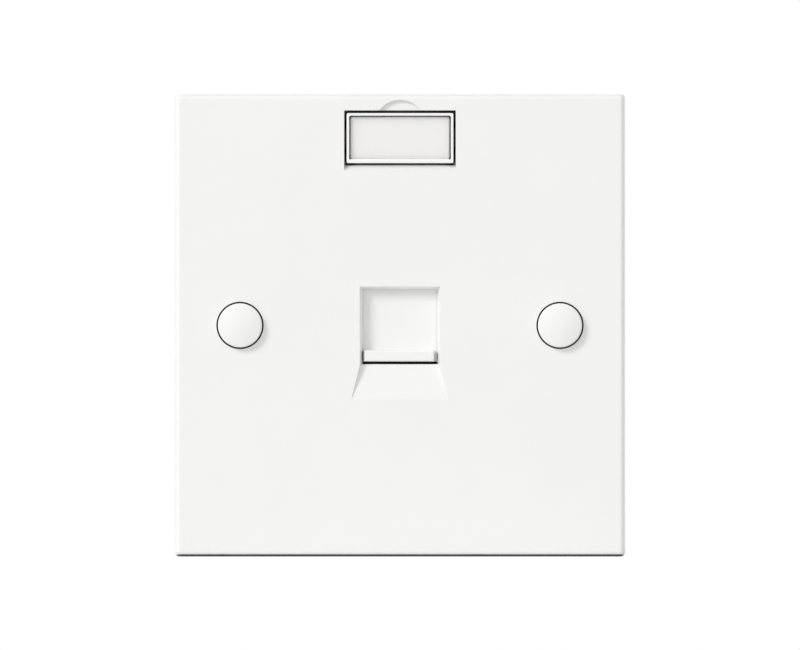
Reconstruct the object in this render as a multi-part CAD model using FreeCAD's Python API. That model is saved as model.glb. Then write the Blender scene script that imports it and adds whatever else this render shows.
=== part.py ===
import FreeCAD, Part
import math
import os

# A keystone faceplate for one data outlet, in millimetres.
#
# The plate stands upright in the XZ plane. Its face looks along -Y, the wall is the plane Y = 0, +Z is up
# and the origin is the middle of the back rim. A moulded shell carries the port, the label recess and the
# seats of two push-fit screw caps. Behind it a second moulding, the jack carrier, holds a keystone jack and
# closes the channels in which a dust shutter slides up against two springs.

Vector = FreeCAD.Vector

# --- Plate shell -----------------------------------------------------------------------------------------
PLATE_WIDTH = 84.8
PLATE_HEIGHT = 87.1
PLATE_DEPTH = 9.0
FRONT_WALL = 2.4
SIDE_WALL = 2.0
SIDE_DRAFT = 1.5  # degrees, on the four outer sides and inside them
CORNER_RADIUS = 0.8
INNER_CORNER_RADIUS = 1.0
FRONT_EDGE_RADIUS = 0.75
RIB_THICKNESS = 1.2
RIB_HEIGHT = 2.6
RIB_GAP = 0.5  # from a rib to the carrier beside it
CROSS_RIB_SETOUT = 2.45  # from the raised shutter's head to the ribs across
UPRIGHT_RIB_SETOUT = 2.6  # from the carrier's flange to the upright ribs

# --- Port and finger ramp --------------------------------------------------------------------------------
PORT_WIDTH = 15.1
PORT_HEIGHT = 14.6
PORT_INSET = 0.55  # how far the port's sides and top close in through the front wall
RAMP_HEIGHT = 6.7
RAMP_FOOT_WIDTH = 18.3
RAMP_DEPTH = 1.25
RAMP_EDGE_RADIUS = 0.3

# --- Shutter ---------------------------------------------------------------------------------------------
SHUTTER_THICKNESS = 1.2
SHUTTER_OVERLAP = 0.75  # past each side of the port
SHUTTER_TOP_OVERLAP = 1.25
SHUTTER_CORNER_RADIUS = 0.8
SLIDE_GAP = 0.1  # between a sliding face and its guide
LIP_WIDTH = 13.2
LIP_HEIGHT = 2.1
LIP_OFFSET = -0.15  # from the port's middle to the lip's
LIP_SETBACK = 0.7  # from the plate's face to the lip's
LIP_CLEARANCE = 0.5  # open slit under the lip when the shutter is down
LIP_EDGE_RADIUS = 0.35
EAR_HEIGHT = 3.15
STOP_GAP = 0.05

# --- Shutter springs -------------------------------------------------------------------------------------
SPRING_WIRE = 0.2  # diameter
SPRING_MEAN_RADIUS = 1.35
SPRING_TURNS = 8
SPRING_STRETCHES = 10  # to the turn
SPRING_WIRE_SIDES = 6
SPRING_CHANNEL_WIDTH = 3.4
SPRING_CHANNEL_DEPTH = 3.6  # from the back of the front wall
SPRING_PIN_RADIUS = 0.85
SPRING_PIN_LENGTH = 1.8
SPRING_SOLID_ALLOWANCE = 6.25  # channel left above the ear when the shutter is up

# --- Jack carrier ----------------------------------------------------------------------------------------
JACK_WIDTH = 14.9
JACK_HEIGHT = 16.4
JACK_DEPTH = 10.0  # of the aperture, from the jack's face to the back of the carrier
JACK_WALL = 1.5
JACK_STOP_THICKNESS = 1.0
JACK_STOP_RISE = 0.5  # of the stop in front of the jack, above the foot of the shutter
CHANNEL_WALL = 1.2
FLANGE_THICKNESS = 1.6
FLANGE_CORNER_RADIUS = 2.0
FIXED_LEDGE = 6.5  # from the jack's face to the back of the lower ledge, which its fixed lug hooks behind
LATCH_LEDGE = 4.0  # the same at the upper ledge, which its sprung latch snaps behind
FIXED_POCKET = 1.8
LATCH_POCKET = 3.6
CATCH_THICKNESS = 1.5
LATCH_ENTRY = 1.6  # how far the back of the aperture opens above the jack
CATCH_LEAD = 0.8

# --- Carrier screws --------------------------------------------------------------------------------------
SCREW_SHANK_RADIUS = 1.05
SCREW_LENGTH = 6.0
SCREW_HEAD_RADIUS = 2.0
SCREW_HEAD_HEIGHT = 1.4
SCREW_HEAD_BREAK = 0.5
SCREW_HOLE_RADIUS = 1.35
PILOT_GAP = 0.05
PILOT_RUNOUT = 0.4  # pilot hole left past the screw's tip
SCREW_BOSS_RADIUS = 2.6
SCREW_MARGIN = 3.4  # from the screw's axis to the flange's edge
SCREW_SETOUT = 3.05  # from the channel's outer wall to the screw's axis

# --- Label window ----------------------------------------------------------------------------------------
LABEL_MARGIN = 3.05  # from the plate's top to the recess's head
COVER_WIDTH = 20.1
COVER_HEIGHT = 9.4
COVER_SIDE_GAP = 0.45
COVER_TOP_GAP = 0.5
COVER_FOOT_GAP = 0.35
LABEL_SLOPE_HEIGHT = 1.05
LABEL_SLOPE_DEPTH = 1.5
LABEL_DEPTH = 2.3
LABEL_FLOOR = 1.2
LABEL_WALL = 1.5
COVER_SETBACK = 0.15  # from the plate's face to the cover's rim
COVER_SKIRT = 0.55
COVER_RIM = 0.45
COVER_FOOT_RIM = 0.6  # the rim is wider where a thumb lifts it
COVER_SINK = 0.35  # from the rim to the window
GROOVE_WIDTH = 0.3  # of the step between the rim and the window
GROOVE_SINK = 0.65  # from the rim to the floor of the step
COVER_WINDOW = 0.7
COVER_CORNER_RADIUS = 0.3
WINDOW_CORNER_RADIUS = 0.4
NIB_HEIGHT = 1.2
NIB_SPACING = 5.0
CARD_THICKNESS = 0.25
CARD_GAP = 0.2
SEAT_GAP = 0.05
NOTCH_RADIUS = 4.8
NOTCH_RISE = 1.98  # of the thumbnail notch above the recess
NOTCH_DEPTH = 0.75

# --- Screw caps and mounting screws ----------------------------------------------------------------------
SCREW_PITCH = 60.3
CAP_RADIUS = 4.15
CAP_GAP = 0.3
CAP_EDGE = 1.25  # straight rim that stands out of the plate
CAP_DOME = 0.75
CAP_DOME_STRETCHES = 3  # straight stretches of its profile, within 0.02 mm of the arc
CAP_EDGE_BREAK = 0.3  # chamfer between the dome and the straight rim
CAP_SKIRT_WALL = 0.7
CAP_SKIRT_DEPTH = 2.4
CAP_ROOF = 1.0
CAP_RIB_WIDTH = 0.8
CAP_RIB_DEPTH = 1.5
CAP_RIB_COUNT = 3
CAP_SEAT_DEPTH = 3.8
CAP_SEAT_FLOOR = 1.5
CAP_SEAT_WALL = 1.4
PILLAR_RADIUS = 3.9
PILLAR_SHORTFALL = 1.0  # from the pillar's end to the wall
FIXING_HOLE_RADIUS = 2.1
FIXING_THREAD_RADIUS = 1.75
FIXING_SHANK_RADIUS = 1.5
FIXING_LENGTH = 25.0
FIXING_HEAD_RADIUS = 3.1
FIXING_HEAD_HEIGHT = 2.2
FIXING_HEAD_BREAK = 0.7
FIXING_TIP = 0.5
FIXING_THREAD_START = 0.1  # past the pillar's end

# --- Places that follow from the sizes -------------------------------------------------------------------
REACH = 1.0  # how far a cutting tool runs past the face it cuts
FACE_Y = -PLATE_DEPTH
INNER_FACE_Y = FACE_Y + FRONT_WALL
PORT_BOTTOM = -PORT_HEIGHT / 2
PORT_TOP = PORT_HEIGHT / 2

SHUTTER_FRONT_Y = INNER_FACE_Y + SLIDE_GAP
SHUTTER_BACK_Y = SHUTTER_FRONT_Y + SHUTTER_THICKNESS
SHUTTER_HALF_WIDTH = PORT_WIDTH / 2 + SHUTTER_OVERLAP
SHUTTER_FOOT = PORT_BOTTOM + LIP_CLEARANCE
SHUTTER_HEAD = PORT_TOP + SHUTTER_TOP_OVERLAP
LIP_TOP = SHUTTER_FOOT + LIP_HEIGHT
SHUTTER_TRAVEL = PORT_TOP - PORT_INSET - STOP_GAP - LIP_TOP

CARRIER_FRONT_Y = SHUTTER_BACK_Y + SLIDE_GAP
JACK_FACE_Y = CARRIER_FRONT_Y + JACK_STOP_THICKNESS
CARRIER_BACK_Y = JACK_FACE_Y + JACK_DEPTH
HOUSING_HALF_WIDTH = JACK_WIDTH / 2 + JACK_WALL
CHANNEL_OUTER_X = HOUSING_HALF_WIDTH + SPRING_CHANNEL_WIDTH
CHANNEL_FLOOR_Y = INNER_FACE_Y + SPRING_CHANNEL_DEPTH
BLOCK_HALF_WIDTH = CHANNEL_OUTER_X + CHANNEL_WALL
FLANGE_BACK_Y = CHANNEL_FLOOR_Y + FLANGE_THICKNESS
HOUSING_FOOT = -JACK_HEIGHT / 2 - FIXED_POCKET - JACK_WALL
HOUSING_HEAD = JACK_HEIGHT / 2 + LATCH_POCKET + JACK_WALL
JACK_STOP_HEAD = SHUTTER_FOOT + JACK_STOP_RISE

EAR_TOP = SHUTTER_FOOT + EAR_HEIGHT
CHANNEL_FOOT = SHUTTER_FOOT - STOP_GAP
CHANNEL_HEAD = EAR_TOP + SHUTTER_TRAVEL + SPRING_SOLID_ALLOWANCE
BLOCK_HEAD = max(CHANNEL_HEAD + CHANNEL_WALL, HOUSING_HEAD)
SPRING_X = (HOUSING_HALF_WIDTH + CHANNEL_OUTER_X) / 2
SPRING_Y = (INNER_FACE_Y + CHANNEL_FLOOR_Y) / 2

SCREW_X = BLOCK_HALF_WIDTH + SCREW_SETOUT
FLANGE_HALF_WIDTH = SCREW_X + SCREW_MARGIN
SCREW_UPPER_Z = BLOCK_HEAD - SCREW_MARGIN
SCREW_LOWER_Z = HOUSING_FOOT + SCREW_MARGIN
CROSS_RIB_Z = SHUTTER_HEAD + SHUTTER_TRAVEL + CROSS_RIB_SETOUT
UPRIGHT_RIB_X = FLANGE_HALF_WIDTH + UPRIGHT_RIB_SETOUT
SCREW_PLACES = {
    "upper_left": (-SCREW_X, SCREW_UPPER_Z),
    "upper_right": (SCREW_X, SCREW_UPPER_Z),
    "lower_left": (-SCREW_X, SCREW_LOWER_Z),
    "lower_right": (SCREW_X, SCREW_LOWER_Z),
}

RECESS_HEAD = PLATE_HEIGHT / 2 - LABEL_MARGIN
COVER_HEAD = RECESS_HEAD - COVER_TOP_GAP
COVER_FOOT = COVER_HEAD - COVER_HEIGHT
RECESS_HALF_WIDTH = COVER_WIDTH / 2 + COVER_SIDE_GAP
RECESS_FOOT = COVER_FOOT - COVER_FOOT_GAP
RECESS_FLOOR_Y = FACE_Y + LABEL_DEPTH
COVER_FRONT_Y = FACE_Y + COVER_SETBACK
WINDOW_FRONT_Y = COVER_FRONT_Y + COVER_SINK
WINDOW_BACK_Y = WINDOW_FRONT_Y + COVER_WINDOW
CARD_FRONT_Y = WINDOW_BACK_Y + SEAT_GAP
CARD_BACK_Y = CARD_FRONT_Y + CARD_THICKNESS

CAP_SEAT_Y = FACE_Y + CAP_SEAT_DEPTH
CAP_SEAT_RADIUS = CAP_RADIUS + CAP_GAP
PILLAR_END_Y = -PILLAR_SHORTFALL
SIDES = {"left": -1, "right": 1}


# --- Shapes used by several pieces -----------------------------------------------------------------------
def block(x, y, z):
    """A box from three (low, high) pairs."""
    size = [high - low for low, high in (x, y, z)]
    return Part.makeBox(*size, Vector(x[0], y[0], z[0]))


def mirrored_pair(shape):
    """A shape and its copy on the other side of the YZ plane."""
    return [shape, shape.mirror(Vector(0, 0, 0), Vector(1, 0, 0))]


def rod(radius, x, z, y):
    """A cylinder along Y about (x, z), between the two values of y."""
    return Part.makeCylinder(radius, y[1] - y[0], Vector(x, y[0], z), Vector(0, 1, 0))


def flat_face(points):
    """The flat face inside a closed run of points."""
    return Part.Face(Part.makePolygon(points + points[:1]))


def rounded_outline(half_width, low, high, radius, y):
    """A rectangle with round corners in the plane of y, as a wire."""
    middle = (low + high) / 2
    half_height = (high - low) / 2
    diagonal = radius * (1 - math.sqrt(0.5))
    edges = []
    ends = []
    for sx, sz in ((1, 1), (-1, 1), (-1, -1), (1, -1)):
        beside = Vector(sx * half_width, y, middle + sz * (half_height - radius))
        above = Vector(sx * (half_width - radius), y, middle + sz * half_height)
        turn = Vector(sx * (half_width - diagonal), y, middle + sz * (half_height - diagonal))
        first, last = (beside, above) if sx * sz > 0 else (above, beside)
        edges.append(Part.Arc(first, turn, last).toShape())
        ends.append((first, last))
    for corner in range(4):
        edges.append(Part.makeLine(ends[corner][1], ends[(corner + 1) % 4][0]))
    return Part.Wire(Part.__sortEdges__(edges))


def rounded_slab(half_width, z, radius, y):
    """A plate with round corners, between the two values of y."""
    outline = rounded_outline(half_width, z[0], z[1], radius, y[0])
    return Part.Face(outline).extrude(Vector(0, y[1] - y[0], 0))


def drafted_block(half_width, half_height, radius, y):
    """A block that narrows towards the face by the sides' draft. Its half sizes are those at the wall."""
    rings = []
    for level in y:
        inset = -level * math.tan(math.radians(SIDE_DRAFT))
        side = half_width - inset
        top = half_height - inset
        rings.append([Vector(sx * side, level, sz * top) for sx, sz in ((1, 1), (-1, 1), (-1, -1), (1, -1))])
    faces = [flat_face(ring) for ring in rings]
    for corner in range(4):
        after = (corner + 1) % 4
        faces.append(flat_face([rings[0][corner], rings[0][after], rings[1][after], rings[1][corner]]))
    solid = Part.Solid(Part.Shell(faces))
    corners = [edge for edge in solid.Edges if not near(edge.Vertexes[0].Y, edge.Vertexes[1].Y)]
    return solid.makeFillet(radius, corners)


def corner_arc(before, corner, after, radius):
    """The arc that rounds a corner between two straight runs, as an edge."""
    one = (before - corner).normalize()
    other = (after - corner).normalize()
    half_angle = one.getAngle(other) / 2
    setback = radius / math.tan(half_angle)
    bisector = (one + other).normalize()
    middle = corner + bisector * (radius / math.sin(half_angle) - radius)
    return Part.Arc(corner + one * setback, middle, corner + other * setback).toShape()


def turned(profile, x, z):
    """A profile of (radius, y) points revolved about the line along Y through (x, z)."""
    points = [Vector(radius, y, 0) for radius, y in profile]
    outline = Part.Face(Part.makePolygon(points + points[:1]))
    solid = outline.revolve(Vector(0, 0, 0), Vector(0, 1, 0), 360)
    return solid.translated(Vector(x, 0, z))


def cross_recess(x, z, y, direction, size):
    """The cruciform driver recess of a screw head at y, sunk along direction (+1 or -1 along Y)."""
    depth = size * 0.42
    slot = size * 0.24
    span = sorted((y - direction * REACH, y + direction * depth))
    across = block((x - size / 2, x + size / 2), span, (z - slot / 2, z + slot / 2))
    upright = block((x - slot / 2, x + slot / 2), span, (z - size / 2, z + size / 2))
    return across.fuse(upright)


def edges_where(shape, test):
    """The shape's edges whose two ends and middle all pass a test of the point."""
    found = []
    for edge in shape.Edges:
        first, last = edge.ParameterRange
        points = [edge.valueAt(first + share * (last - first)) for share in (0, 0.5, 1)]
        if all(test(point) for point in points):
            found.append(edge)
    return found


def near(value, target):
    """True if two lengths are the same to a hundredth of a millimetre."""
    return abs(value - target) < 0.01


# --- Faceplate -------------------------------------------------------------------------------------------
def plate_shell():
    """The drafted tray: a flat front wall and four side walls, with a soft front edge."""
    outside = drafted_block(PLATE_WIDTH / 2, PLATE_HEIGHT / 2, CORNER_RADIUS, (FACE_Y, 0))
    front_edges = edges_where(outside, lambda point: near(point.y, FACE_Y))
    outside = outside.makeFillet(FRONT_EDGE_RADIUS, front_edges)
    return outside.cut(plate_cavity(0))


def plate_cavity(overrun):
    """The space inside the tray, run past the wall plane by overrun."""
    half_width = PLATE_WIDTH / 2 - SIDE_WALL
    half_height = PLATE_HEIGHT / 2 - SIDE_WALL
    return drafted_block(half_width, half_height, INNER_CORNER_RADIUS, (INNER_FACE_Y, overrun))


def port_half_width(y):
    """Half the port's width at a depth. The sides close in evenly through the front wall."""
    return PORT_WIDTH / 2 - (y - FACE_Y) * PORT_INSET / FRONT_WALL


def port_opening():
    """The port: straight along its foot, closing in at the sides and the top."""
    wires = []
    for y in (FACE_Y - REACH, INNER_FACE_Y + REACH):
        half_width = port_half_width(y)
        top = PORT_TOP - PORT_WIDTH / 2 + half_width
        corners = [
            Vector(-half_width, y, PORT_BOTTOM),
            Vector(half_width, y, PORT_BOTTOM),
            Vector(half_width, y, top),
            Vector(-half_width, y, top),
        ]
        wires.append(Part.makePolygon(corners + corners[:1]))
    return Part.makeLoft(wires, True, True)


def finger_ramp():
    """The flared ramp under the port, deepest at the port and running out on the face."""
    foot = PORT_BOTTOM - RAMP_HEIGHT
    flare = (RAMP_FOOT_WIDTH - PORT_WIDTH) / 2
    wires = []
    for y in (FACE_Y - REACH, INNER_FACE_Y + REACH):
        half_width = port_half_width(y)
        corners = [
            Vector(-half_width, y, PORT_BOTTOM),
            Vector(half_width, y, PORT_BOTTOM),
            Vector(half_width + flare, y, foot),
            Vector(-half_width - flare, y, foot),
        ]
        wires.append(Part.makePolygon(corners + corners[:1]))
    sides = Part.makeLoft(wires, True, True)
    left = -RAMP_FOOT_WIDTH
    deepest = Vector(left, FACE_Y + RAMP_DEPTH, PORT_BOTTOM)
    runout = Vector(left, FACE_Y, foot)
    rounding = corner_arc(Vector(left, INNER_FACE_Y, PORT_BOTTOM), deepest, runout, RAMP_EDGE_RADIUS)
    front = [
        runout,
        Vector(left, FACE_Y - REACH, foot),
        Vector(left, FACE_Y - REACH, PORT_BOTTOM),
        rounding.valueAt(rounding.FirstParameter),
    ]
    slope = Part.makeLine(rounding.valueAt(rounding.LastParameter), runout)
    section = Part.Wire([rounding, slope] + Part.makePolygon(front).Edges)
    return sides.common(Part.Face(section).extrude(Vector(2 * RAMP_FOOT_WIDTH, 0, 0)))


def label_recess():
    """The window's pocket round the card's raised bed, with a slope at its foot to tip the cover out on."""
    profile = [
        Vector(0, FACE_Y - REACH, RECESS_HEAD),
        Vector(0, RECESS_FLOOR_Y, RECESS_HEAD),
        Vector(0, RECESS_FLOOR_Y, RECESS_FOOT),
        Vector(0, FACE_Y + LABEL_SLOPE_DEPTH, RECESS_FOOT),
        Vector(0, FACE_Y, RECESS_FOOT - LABEL_SLOPE_HEIGHT),
        Vector(0, FACE_Y - REACH, RECESS_FOOT - LABEL_SLOPE_HEIGHT),
    ]
    section = Part.Face(Part.makePolygon(profile + profile[:1]))
    pocket = section.extrude(Vector(2 * RECESS_HALF_WIDTH, 0, 0))
    bed = inside_skirt(CARD_GAP, (CARD_BACK_Y, RECESS_FLOOR_Y + REACH))
    return pocket.translated(Vector(-RECESS_HALF_WIDTH, 0, 0)).cut(bed)


def thumbnail_notch():
    """The shallow round notch that lets a fingernail behind the cover's top edge."""
    centre = RECESS_HEAD + NOTCH_RISE - NOTCH_RADIUS
    return rod(NOTCH_RADIUS, 0, centre, (FACE_Y - REACH, FACE_Y + NOTCH_DEPTH))


def label_backing():
    """The wall behind the label's pocket, where it is deeper than the front wall allows."""
    x = (-RECESS_HALF_WIDTH - LABEL_WALL, RECESS_HALF_WIDTH + LABEL_WALL)
    z = (RECESS_FOOT - LABEL_WALL, PLATE_HEIGHT / 2)
    return block(x, (INNER_FACE_Y, RECESS_FLOOR_Y + LABEL_FLOOR), z)


def cap_pillar(side):
    """The tube around a screw cap's seat and the pillar that bears the fixing screw."""
    x = side * SCREW_PITCH / 2
    tube = rod(CAP_SEAT_RADIUS + CAP_SEAT_WALL, x, 0, (INNER_FACE_Y, CAP_SEAT_Y + CAP_SEAT_FLOOR))
    pillar = rod(PILLAR_RADIUS, x, 0, (CAP_SEAT_Y, PILLAR_END_Y))
    return tube.fuse(pillar)


def cap_bore(side):
    """The cap's round seat and the fixing screw's hole through its floor."""
    x = side * SCREW_PITCH / 2
    seat = rod(CAP_SEAT_RADIUS, x, 0, (FACE_Y - REACH, CAP_SEAT_Y))
    hole = rod(FIXING_HOLE_RADIUS, x, 0, (CAP_SEAT_Y - REACH, 0))
    return seat.fuse(hole)


def stiffening_ribs():
    """Low ribs behind the front wall: two across, two upright, and one through each pillar."""
    y = (INNER_FACE_Y, INNER_FACE_Y + RIB_HEIGHT)
    half = RIB_THICKNESS / 2
    ribs = []
    for z in (-CROSS_RIB_Z, CROSS_RIB_Z):
        ribs.append(block((-PLATE_WIDTH / 2, PLATE_WIDTH / 2), y, (z - half, z + half)))
    for x in (-UPRIGHT_RIB_X, UPRIGHT_RIB_X):
        ribs.append(block((x - half, x + half), y, (-PLATE_HEIGHT / 2, PLATE_HEIGHT / 2)))
    ribs += mirrored_pair(block((BLOCK_HALF_WIDTH + RIB_GAP, PLATE_WIDTH / 2), y, (-half, half)))
    return ribs


def shutter_guides():
    """Two short rails that steady the shutter's head when it is up."""
    inner = SHUTTER_HALF_WIDTH + SLIDE_GAP
    x = (inner, inner + RIB_THICKNESS)
    y = (INNER_FACE_Y, SHUTTER_BACK_Y)
    z = (BLOCK_HEAD + RIB_GAP, SHUTTER_HEAD + SHUTTER_TRAVEL + RIB_GAP)
    return mirrored_pair(block(x, y, z))


def screw_boss(x, z):
    """A boss that the carrier's flange sits on."""
    return rod(SCREW_BOSS_RADIUS, x, z, (INNER_FACE_Y, CHANNEL_FLOOR_Y))


def pilot_hole(x, z):
    """The blind hole for a self-tapping screw."""
    tip = FLANGE_BACK_Y - SCREW_LENGTH
    return rod(SCREW_SHANK_RADIUS + PILOT_GAP, x, z, (tip - PILOT_RUNOUT, CHANNEL_FLOOR_Y + REACH))


def faceplate():
    """The front moulding. What stands inside the tray is trimmed to the middle of its side walls."""
    half_width = (PLATE_WIDTH - SIDE_WALL) / 2
    half_height = (PLATE_HEIGHT - SIDE_WALL) / 2
    limits = drafted_block(half_width, half_height, CORNER_RADIUS, (FACE_Y, 0))
    inside = [label_backing()] + stiffening_ribs() + shutter_guides()
    inside += [cap_pillar(side) for side in SIDES.values()]
    inside += [screw_boss(x, z) for x, z in SCREW_PLACES.values()]
    body = plate_shell().fuse([piece.common(limits) for piece in inside]).removeSplitter()
    cuts = [port_opening(), finger_ramp(), label_recess(), thumbnail_notch()]
    cuts += [cap_bore(side) for side in SIDES.values()]
    cuts += [pilot_hole(x, z) for x, z in SCREW_PLACES.values()]
    return body.cut(cuts)


# --- Shutter and its springs -----------------------------------------------------------------------------
def shutter():
    """The sliding door: a panel, a finger lip along its foot and a guide ear on each side."""
    panel = rounded_slab(
        SHUTTER_HALF_WIDTH,
        (SHUTTER_FOOT, SHUTTER_HEAD),
        SHUTTER_CORNER_RADIUS,
        (SHUTTER_FRONT_Y, SHUTTER_BACK_Y),
    )
    lip = block(
        (LIP_OFFSET - LIP_WIDTH / 2, LIP_OFFSET + LIP_WIDTH / 2),
        (FACE_Y + LIP_SETBACK, SHUTTER_FRONT_Y),
        (SHUTTER_FOOT, LIP_TOP),
    )
    lip_edges = edges_where(lip, lambda point: near(point.y, FACE_Y + LIP_SETBACK))
    lip = lip.makeFillet(LIP_EDGE_RADIUS, lip_edges)
    outer = CHANNEL_OUTER_X - SLIDE_GAP
    arm = block((0, outer), (SHUTTER_FRONT_Y, SHUTTER_BACK_Y), (SHUTTER_FOOT, EAR_TOP))
    ear = block(
        (HOUSING_HALF_WIDTH + SLIDE_GAP, outer),
        (SHUTTER_FRONT_Y, CHANNEL_FLOOR_Y - SLIDE_GAP),
        (SHUTTER_FOOT, EAR_TOP),
    )
    pin = Part.makeCylinder(SPRING_PIN_RADIUS, SPRING_PIN_LENGTH, Vector(SPRING_X, SPRING_Y, EAR_TOP))
    pieces = [lip]
    for piece in (arm, ear, pin):
        pieces += mirrored_pair(piece)
    return panel.fuse(pieces).removeSplitter()


def shutter_spring(side):
    """A compression spring between the shutter's ear and the head of its channel.

    The wire is drawn with flat sides, and the coil in short straight stretches from section to section.
    """
    half_wire = SPRING_WIRE / 2
    length = CHANNEL_HEAD - EAR_TOP - SPRING_WIRE
    stretches = round(SPRING_TURNS * SPRING_STRETCHES)
    sections = []
    for number in range(stretches + 1):
        turn = 2 * math.pi * number / SPRING_STRETCHES
        outward = Vector(math.cos(turn), math.sin(turn), 0)
        middle = outward * SPRING_MEAN_RADIUS + Vector(0, 0, half_wire + length * number / stretches)
        corners = []
        for corner in range(SPRING_WIRE_SIDES):
            angle = 2 * math.pi * (corner + 0.5) / SPRING_WIRE_SIDES
            rise = Vector(0, 0, half_wire * math.sin(angle))
            corners.append(middle + outward * (half_wire * math.cos(angle)) + rise)
        sections.append(Part.makePolygon(corners + corners[:1]))
    coil = Part.makeLoft(sections, True, True)
    return coil.translated(Vector(side * SPRING_X, SPRING_Y, EAR_TOP))


# --- Jack carrier ----------------------------------------------------------------------------------------
def jack_aperture():
    """The keystone aperture: the way through, a pocket for each of the jack's lugs, and the entry.

    A low stop at its foot meets the jack's face and closes the view under the shutter's lip.
    """
    half = JACK_WIDTH / 2
    x = (-half, half)
    low = -JACK_HEIGHT / 2
    high = JACK_HEIGHT / 2
    catch_y = CARRIER_BACK_Y - CATCH_THICKNESS
    front = block(x, (CARRIER_FRONT_Y - REACH, JACK_FACE_Y), (JACK_STOP_HEAD, high))
    way = block(x, (JACK_FACE_Y, CARRIER_BACK_Y + REACH), (low, high))
    fixed = block(x, (JACK_FACE_Y + FIXED_LEDGE, catch_y), (low - FIXED_POCKET, low))
    latch = block(x, (JACK_FACE_Y + LATCH_LEDGE, catch_y), (high, high + LATCH_POCKET))
    entry = high + LATCH_ENTRY
    lead = [
        Vector(-half, catch_y - REACH, high - REACH),
        Vector(-half, catch_y - REACH, entry),
        Vector(-half, CARRIER_BACK_Y - CATCH_LEAD, entry),
        Vector(-half, CARRIER_BACK_Y, entry + CATCH_LEAD),
        Vector(-half, CARRIER_BACK_Y + REACH, entry + CATCH_LEAD),
        Vector(-half, CARRIER_BACK_Y + REACH, high - REACH),
    ]
    mouth = Part.Face(Part.makePolygon(lead + lead[:1])).extrude(Vector(JACK_WIDTH, 0, 0))
    return way.fuse([front, fixed, latch, mouth])


def spring_channel():
    """The right-hand channel for the shutter's ear and spring, open at the front."""
    x = (HOUSING_HALF_WIDTH, CHANNEL_OUTER_X)
    return block(x, (INNER_FACE_Y - REACH, CHANNEL_FLOOR_Y), (CHANNEL_FOOT, CHANNEL_HEAD))


def channel_frame():
    """The right-hand channel's outer wall and end walls, which reach the back of the plate's front wall."""
    x = (HOUSING_HALF_WIDTH, BLOCK_HALF_WIDTH)
    z = (CHANNEL_FOOT - CHANNEL_WALL, CHANNEL_HEAD + CHANNEL_WALL)
    return block(x, (INNER_FACE_Y + STOP_GAP, CHANNEL_FLOOR_Y), z)


def foot_core():
    """The right-hand hollow under the channel, which keeps the moulding's walls even."""
    x = (HOUSING_HALF_WIDTH, CHANNEL_OUTER_X)
    z = (HOUSING_FOOT + CHANNEL_WALL, CHANNEL_FOOT - CHANNEL_WALL)
    return block(x, (CARRIER_FRONT_Y - REACH, CHANNEL_FLOOR_Y), z)


def spring_seat_pin():
    """The right-hand pin that centres the spring at the head of its channel."""
    base = Vector(SPRING_X, SPRING_Y, CHANNEL_HEAD - SPRING_PIN_LENGTH)
    return Part.makeCylinder(SPRING_PIN_RADIUS, SPRING_PIN_LENGTH, base)


def jack_carrier():
    """The rear moulding: flange, channel block and keystone housing."""
    z = (HOUSING_FOOT, BLOCK_HEAD)
    flange = rounded_slab(FLANGE_HALF_WIDTH, z, FLANGE_CORNER_RADIUS, (CHANNEL_FLOOR_Y, FLANGE_BACK_Y))
    front = block((-BLOCK_HALF_WIDTH, BLOCK_HALF_WIDTH), (CARRIER_FRONT_Y, CHANNEL_FLOOR_Y), z)
    sides = (-HOUSING_HALF_WIDTH, HOUSING_HALF_WIDTH)
    housing = block(sides, (CHANNEL_FLOOR_Y, CARRIER_BACK_Y), (HOUSING_FOOT, HOUSING_HEAD))
    body = flange.fuse([front, housing] + mirrored_pair(channel_frame())).removeSplitter()
    cuts = [jack_aperture()] + mirrored_pair(spring_channel()) + mirrored_pair(foot_core())
    for x, z in SCREW_PLACES.values():
        cuts.append(rod(SCREW_HOLE_RADIUS, x, z, (CHANNEL_FLOOR_Y - REACH, FLANGE_BACK_Y + REACH)))
    return body.cut(cuts).fuse(mirrored_pair(spring_seat_pin())).removeSplitter()


# --- Fasteners -------------------------------------------------------------------------------------------
def carrier_screw(x, z):
    """A pan-head self-tapping screw with a blunt end, driven from behind."""
    seat = FLANGE_BACK_Y
    top = seat + SCREW_HEAD_HEIGHT
    tip = seat - SCREW_LENGTH
    profile = [
        (0, tip),
        (SCREW_SHANK_RADIUS, tip),
        (SCREW_SHANK_RADIUS, seat),
        (SCREW_HEAD_RADIUS, seat),
        (SCREW_HEAD_RADIUS, top - SCREW_HEAD_BREAK),
        (SCREW_HEAD_RADIUS - SCREW_HEAD_BREAK, top),
        (0, top),
    ]
    return turned(profile, x, z).cut(cross_recess(x, z, top, -1, SCREW_HEAD_RADIUS * 1.2))


def mounting_screw(side):
    """The M3.5 screw that holds the plate to its box. Its shank is reduced above the rolled thread."""
    x = side * SCREW_PITCH / 2
    seat = CAP_SEAT_Y
    top = seat - FIXING_HEAD_HEIGHT
    tip = seat + FIXING_LENGTH
    thread = PILLAR_END_Y + FIXING_THREAD_START
    profile = [
        (0, top),
        (FIXING_HEAD_RADIUS - FIXING_HEAD_BREAK, top),
        (FIXING_HEAD_RADIUS, top + FIXING_HEAD_BREAK),
        (FIXING_HEAD_RADIUS, seat),
        (FIXING_SHANK_RADIUS, seat),
        (FIXING_SHANK_RADIUS, thread),
        (FIXING_THREAD_RADIUS, thread),
        (FIXING_THREAD_RADIUS, tip - FIXING_TIP),
        (FIXING_THREAD_RADIUS - FIXING_TIP, tip),
        (0, tip),
    ]
    return turned(profile, x, 0).cut(cross_recess(x, 0, top, 1, FIXING_HEAD_RADIUS * 1.2))


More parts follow.
